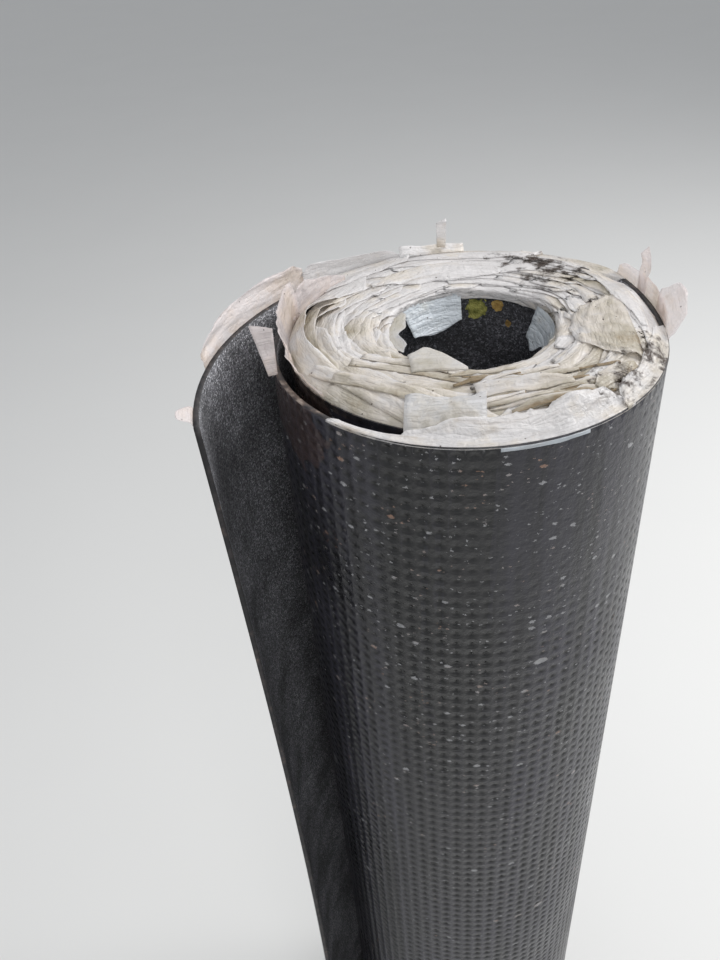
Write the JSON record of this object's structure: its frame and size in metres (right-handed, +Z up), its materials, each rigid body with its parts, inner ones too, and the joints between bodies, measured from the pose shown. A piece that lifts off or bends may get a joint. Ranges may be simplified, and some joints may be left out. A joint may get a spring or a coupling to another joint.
{
  "type": "roll of roofing felt",
  "caption": "Roll of torch-on roofing felt standing on end, with an open bore, a loose outer turn and crumpled film along its upper edge.",
  "frame": {"origin": "on the axis of the bore, at floor level, at the lower end of the roll", "axes": "+Z up along the bore, -Y toward the side that shows in the picture, +X to its right; the free flap hangs on the -X side"},
  "size_m": [0.26, 0.2331, 1.015],
  "materials": {
    "felt": "bitumen felt: glossy embossed skin outside, fine dark sand inside",
    "film": "thin crumpled cream-white film, soiled in places"
  },
  "bodies": {
    "root": {"felt_roll": "felt", "film_margin": "film"}
  },
  "joints": []
}
